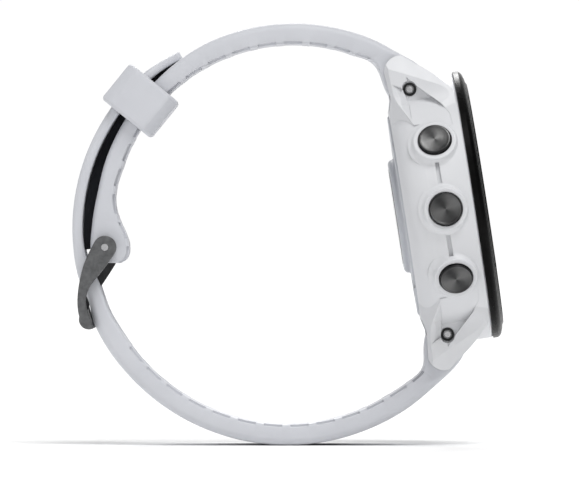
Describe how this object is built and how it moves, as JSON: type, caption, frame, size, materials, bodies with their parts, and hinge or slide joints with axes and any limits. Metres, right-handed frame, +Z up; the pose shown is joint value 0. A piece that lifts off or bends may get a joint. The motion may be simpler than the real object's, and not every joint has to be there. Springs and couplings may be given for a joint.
{
  "type": "running watch",
  "caption": "Round sports watch with side push buttons, a raised optical sensor on the back and a buckled silicone band with keeper.",
  "frame": {"origin": "centre of the wrist opening, on the dial axis 26 mm behind the rear plane of the case", "axes": "+Z up; the band's loop runs round the Y axis; the dial faces +X, tilted 8.8 degrees up; the three-button side faces -Y"},
  "size_m": [0.0743, 0.0478, 0.0726],
  "materials": {
    "case_polymer": "satin fibre-reinforced polymer",
    "rear_polymer": "satin polymer",
    "bezel_metal": "dark coated metal, fine turned lines",
    "button_metal": "gunmetal, turned",
    "buckle_metal": "gunmetal, bead blasted",
    "tongue_metal": "dark coated",
    "lens_glass": "clear polished",
    "sensor_glass": "dark tinted polished",
    "display": "display panel",
    "gasket": "matte",
    "inner_polymer": "moulded",
    "board": "solder mask",
    "chip": "epoxy",
    "antenna_metal": "plated",
    "cell_wrap": "laminated foil",
    "steel": "turned",
    "contact_gold": "plated",
    "strap_silicone": "matte moulded silicone"
  },
  "bodies": {
    "case": {"antenna_ring": "antenna_metal", "battery_cell": "cell_wrap", "beeper": "steel", "bezel": "bezel_metal", "board_chips": "chip", "case_body": "case_polymer", "charge_contacts": "contact_gold", "chassis_plate": "inner_polymer", "display_module": "display", "down_button_spring": "steel", "down_button_switch": "inner_polymer", "lap_button_spring": "steel", "lap_button_switch": "inner_polymer", "lens": "lens_glass", "lens_gasket": "gasket", "light_button_spring": "steel", "light_button_switch": "inner_polymer", "main_board": "board", "rear_cover": "rear_polymer", "rear_cover_gasket": "gasket", "rear_cover_screws": "steel", "sensor_board": "board", "sensor_optics": "chip", "sensor_window": "sensor_glass", "start_button_spring": "steel", "start_button_switch": "inner_polymer", "up_button_spring": "steel", "up_button_switch": "inner_polymer", "vibration_motor": "steel"},
    "light_button": {"light_button_cap": "button_metal", "light_button_seal": "gasket", "light_button_clip": "steel"},
    "up_button": {"up_button_cap": "button_metal", "up_button_seal": "gasket", "up_button_clip": "steel"},
    "down_button": {"down_button_cap": "button_metal", "down_button_seal": "gasket", "down_button_clip": "steel"},
    "start_button": {"start_button_cap": "button_metal", "start_button_seal": "gasket", "start_button_clip": "steel"},
    "lap_button": {"lap_button_cap": "button_metal", "lap_button_seal": "gasket", "lap_button_clip": "steel"},
    "upper_strap": {"upper_strap": "strap_silicone", "upper_bar_tube": "steel", "upper_bar_spring": "steel", "buckle_pin": "steel"},
    "upper_release": {"upper_bar_plunger": "steel", "upper_bar_release_knob": "steel"},
    "lower_strap": {"lower_strap": "strap_silicone", "lower_bar_tube": "steel", "lower_bar_spring": "steel"},
    "lower_release": {"lower_bar_plunger": "steel", "lower_bar_release_knob": "steel"},
    "keeper": {"keeper": "strap_silicone"},
    "buckle": {"buckle_frame": "buckle_metal"},
    "tongue": {"buckle_tongue": "tongue_metal"}
  },
  "joints": [
    {"name": "light_button_press", "type": "slide", "parent": "case", "child": "light_button", "axis": [0.0765, 0.866, -0.4941], "range_m": [0, 0.0006], "stiffness_N_per_m": 2000, "springref_m": -0.0004, "deforming": ["light_button_spring"]},
    {"name": "up_button_press", "type": "slide", "parent": "case", "child": "up_button", "axis": [0, 1, 0], "range_m": [0, 0.0006], "stiffness_N_per_m": 2000, "springref_m": -0.0004, "deforming": ["up_button_spring"]},
    {"name": "down_button_press", "type": "slide", "parent": "case", "child": "down_button", "axis": [-0.0765, 0.866, 0.4941], "range_m": [0, 0.0006], "stiffness_N_per_m": 2000, "springref_m": -0.0004, "deforming": ["down_button_spring"]},
    {"name": "start_button_press", "type": "slide", "parent": "case", "child": "start_button", "axis": [0.0765, -0.866, -0.4941], "range_m": [0, 0.0006], "stiffness_N_per_m": 2000, "springref_m": -0.0004, "deforming": ["start_button_spring"]},
    {"name": "lap_button_press", "type": "slide", "parent": "case", "child": "lap_button", "axis": [-0.0765, -0.866, 0.4941], "range_m": [0, 0.0006], "stiffness_N_per_m": 2000, "springref_m": -0.0004, "deforming": ["lap_button_spring"]},
    {"name": "upper_strap_hinge", "type": "hinge", "parent": "case", "child": "upper_strap", "pos_m": [0.02678, 0, 0.0257], "axis": [0, 1, 0], "range_deg": [-1.1, 0]},
    {"name": "lower_strap_hinge", "type": "hinge", "parent": "case", "child": "lower_strap", "pos_m": [0.0333, 0, -0.0164], "axis": [0, 1, 0], "range_deg": [-0.78, 0]},
    {"name": "buckle_hinge", "type": "hinge", "parent": "upper_strap", "child": "buckle", "pos_m": [-0.0256, 0, -0.00145], "axis": [0, 1, 0], "range_deg": [0, 4]},
    {"name": "tongue_hinge", "type": "hinge", "parent": "buckle", "child": "tongue", "pos_m": [-0.0256, 0, -0.00145], "axis": [0, 1, 0], "range_deg": [0, 6]},
    {"name": "keeper_slide", "type": "hinge", "parent": "upper_strap", "child": "keeper", "pos_m": [0.0069, 0, 0.0024], "axis": [0, 1, 0], "range_deg": [-4, 5]},
    {"name": "upper_quick_release", "type": "slide", "parent": "upper_strap", "child": "upper_release", "axis": [0, 1, 0], "range_m": [0, 0.0014], "stiffness_N_per_m": 900, "springref_m": -0.0008, "deforming": ["upper_bar_spring"]},
    {"name": "lower_quick_release", "type": "slide", "parent": "lower_strap", "child": "lower_release", "axis": [0, 1, 0], "range_m": [0, 0.0014], "stiffness_N_per_m": 900, "springref_m": -0.0008, "deforming": ["lower_bar_spring"]}
  ],
  "couplings": [
    {"joint": "lower_strap_hinge", "follows": "upper_strap_hinge", "ratio": 0.69},
    {"joint": "buckle_hinge", "follows": "upper_strap_hinge", "ratio": -3.47}
  ]
}
